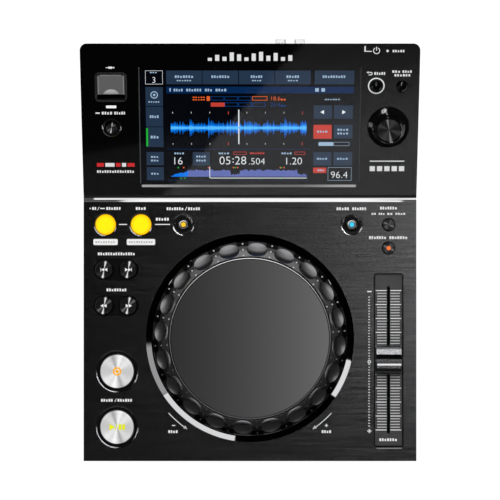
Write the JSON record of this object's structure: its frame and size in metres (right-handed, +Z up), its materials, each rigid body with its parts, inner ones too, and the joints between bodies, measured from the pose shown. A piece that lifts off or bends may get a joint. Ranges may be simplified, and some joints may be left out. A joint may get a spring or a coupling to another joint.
{
  "type": "tabletop media player",
  "caption": "Tabletop media player for DJ use with a flat deck, jog wheel, tempo fader, push buttons and a sloped touch display.",
  "frame": {"origin": "on the table under the middle of the outline that includes the rear phono sockets", "axes": "+Z up, -Y towards the user, +X to the user's right"},
  "size_m": [0.242, 0.31, 0.1094],
  "materials": {
    "moulded_black": "fine moulded texture",
    "steel_plate": "satin powder coat",
    "brushed_black": "brushed, black anodised",
    "console_gloss": "polished",
    "polished_trim": "polished",
    "rubber": "matte",
    "screw_steel": "zinc plated",
    "touch_glass": "gloss, lit display behind",
    "sheet_steel": "plain sheet",
    "board_green": "solder mask",
    "socket_metal": "nickel",
    "part_black": "moulded",
    "gloss_black": "polished",
    "jog_silver": "satin",
    "jog_top": "fine matte",
    "trim_line": "polished",
    "shaft_steel": "ground",
    "bronze": "sintered",
    "bezel_dark": "turned",
    "lit_yellow": "lit cap",
    "spun_black": "spun",
    "spun_silver": "spun",
    "lid_grey": "satin",
    "white_plastic": "moulded",
    "satin_black": "satin lacquer",
    "cap_lacquer": "metallic lacquer"
  },
  "bodies": {
    "chassis": {"housing": "moulded_black", "base_plate": "steel_plate", "deck_plate": "brushed_black", "console_plate": "console_gloss", "seam_strip": "polished_trim", "rear_panel": "steel_plate", "feet": "rubber", "case_screws": "screw_steel", "touch_glass": "touch_glass", "display_module": "sheet_steel", "display_bracket": "sheet_steel", "main_board": "board_green", "phono_sockets": "socket_metal", "network_socket": "socket_metal", "usb_b_socket": "socket_metal", "dc_socket": "part_black", "power_switch": "part_black", "jog_well_ring": "gloss_black", "jog_bearing": "bronze", "jog_frame": "sheet_steel", "encoder_sensor": "part_black", "deck_boards": "board_green", "console_boards": "board_green", "tact_switches": "part_black", "button_bezels": "bezel_dark", "selector_encoder": "sheet_steel", "usb_lid_pin": "shaft_steel", "usb_frame": "part_black", "usb_socket": "socket_metal", "fader_plate": "satin_black", "fader_body": "sheet_steel", "fader_rods": "shaft_steel"},
    "jog_wheel": {"jog_platter": "part_black", "jog_grip_ring": "jog_silver", "jog_top_plate": "jog_top", "jog_trim_ring": "trim_line", "jog_shaft": "shaft_steel", "encoder_disc": "white_plastic"},
    "usb_lid": {"usb_lid": "lid_grey"},
    "tempo_fader": {"fader_carriage": "white_plastic", "fader_cap": "cap_lacquer"},
    "selector_rotor": {"selector_rotor": "white_plastic"},
    "selector_knob": {"selector_knob": "gloss_black", "selector_shaft": "shaft_steel"},
    "power_button": {"power_button": "lid_grey"},
    "loop_in_button": {"loop_in_button": "lit_yellow"},
    "loop_out_button": {"loop_out_button": "lit_yellow"},
    "loop_exit_button": {"loop_exit_button": "spun_black"},
    "vinyl_button": {"vinyl_button": "spun_black"},
    "tempo_range_button": {"tempo_range_button": "spun_black"},
    "master_tempo_button": {"master_tempo_button": "spun_black"},
    "track_back_button": {"track_back_button": "spun_black"},
    "track_next_button": {"track_next_button": "spun_black"},
    "search_back_button": {"search_back_button": "spun_black"},
    "search_forward_button": {"search_forward_button": "spun_black"},
    "cue_button": {"cue_button": "spun_silver"},
    "play_button": {"play_button": "spun_silver"},
    "usb_stop_button": {"usb_stop_button": "spun_black"},
    "back_button": {"back_button": "gloss_black"},
    "tag_button": {"tag_button": "gloss_black"}
  },
  "joints": [
    {"name": "jog_spin", "type": "hinge", "parent": "chassis", "child": "jog_wheel", "pos_m": [0, -0.0655, 0.07], "axis": [0, 0, 1], "continuous": true},
    {"name": "tempo_slide", "type": "slide", "parent": "chassis", "child": "tempo_fader", "axis": [0, 1, 0], "range_m": [-0.05, 0.05]},
    {"name": "usb_lid_hinge", "type": "hinge", "parent": "chassis", "child": "usb_lid", "pos_m": [-0.0994, 0.12277, 0.09971], "axis": [-1, 0, 0], "range_deg": [0, 90]},
    {"name": "selector_turn", "type": "hinge", "parent": "chassis", "child": "selector_rotor", "pos_m": [0.0994, 0.08674, 0.08819], "axis": [0, -0.342, 0.9397], "continuous": true},
    {"name": "selector_press", "type": "slide", "parent": "selector_rotor", "child": "selector_knob", "axis": [0, 0.342, -0.9397], "range_m": [0, 0.0005], "stiffness_N_per_m": 1200, "springref_m": -0.0005},
    {"name": "power_press", "type": "slide", "parent": "chassis", "child": "power_button", "axis": [0, -1, 0], "range_m": [0, 0.002], "stiffness_N_per_m": 500, "springref_m": -0.001},
    {"name": "loop_in_press", "type": "slide", "parent": "chassis", "child": "loop_in_button", "axis": [0, 0, -1], "range_m": [0, 0.0005], "stiffness_N_per_m": 800, "springref_m": -0.0005},
    {"name": "loop_out_press", "type": "slide", "parent": "chassis", "child": "loop_out_button", "axis": [0, 0, -1], "range_m": [0, 0.0005], "stiffness_N_per_m": 800, "springref_m": -0.0005},
    {"name": "loop_exit_press", "type": "slide", "parent": "chassis", "child": "loop_exit_button", "axis": [0, 0, -1], "range_m": [0, 0.0005], "stiffness_N_per_m": 800, "springref_m": -0.0005},
    {"name": "vinyl_press", "type": "slide", "parent": "chassis", "child": "vinyl_button", "axis": [0, 0, -1], "range_m": [0, 0.0005], "stiffness_N_per_m": 800, "springref_m": -0.0005},
    {"name": "tempo_range_press", "type": "slide", "parent": "chassis", "child": "tempo_range_button", "axis": [0, 0, -1], "range_m": [0, 0.0005], "stiffness_N_per_m": 800, "springref_m": -0.0005},
    {"name": "master_tempo_press", "type": "slide", "parent": "chassis", "child": "master_tempo_button", "axis": [0, 0, -1], "range_m": [0, 0.0005], "stiffness_N_per_m": 800, "springref_m": -0.0005},
    {"name": "track_back_press", "type": "slide", "parent": "chassis", "child": "track_back_button", "axis": [0, 0, -1], "range_m": [0, 0.0005], "stiffness_N_per_m": 800, "springref_m": -0.0005},
    {"name": "track_next_press", "type": "slide", "parent": "chassis", "child": "track_next_button", "axis": [0, 0, -1], "range_m": [0, 0.0005], "stiffness_N_per_m": 800, "springref_m": -0.0005},
    {"name": "search_back_press", "type": "slide", "parent": "chassis", "child": "search_back_button", "axis": [0, 0, -1], "range_m": [0, 0.0005], "stiffness_N_per_m": 800, "springref_m": -0.0005},
    {"name": "search_forward_press", "type": "slide", "parent": "chassis", "child": "search_forward_button", "axis": [0, 0, -1], "range_m": [0, 0.0005], "stiffness_N_per_m": 800, "springref_m": -0.0005},
    {"name": "cue_press", "type": "slide", "parent": "chassis", "child": "cue_button", "axis": [0, 0, -1], "range_m": [0, 0.0008], "stiffness_N_per_m": 1000, "springref_m": -0.0005},
    {"name": "play_press", "type": "slide", "parent": "chassis", "child": "play_button", "axis": [0, 0, -1], "range_m": [0, 0.0008], "stiffness_N_per_m": 1000, "springref_m": -0.0005},
    {"name": "usb_stop_press", "type": "slide", "parent": "chassis", "child": "usb_stop_button", "axis": [0, 0.342, -0.9397], "range_m": [0, 0.0005], "stiffness_N_per_m": 800, "springref_m": -0.0005},
    {"name": "back_press", "type": "slide", "parent": "chassis", "child": "back_button", "axis": [0, 0.342, -0.9397], "range_m": [0, 0.0005], "stiffness_N_per_m": 800, "springref_m": -0.0005},
    {"name": "tag_press", "type": "slide", "parent": "chassis", "child": "tag_button", "axis": [0, 0.342, -0.9397], "range_m": [0, 0.0005], "stiffness_N_per_m": 800, "springref_m": -0.0005}
  ]
}
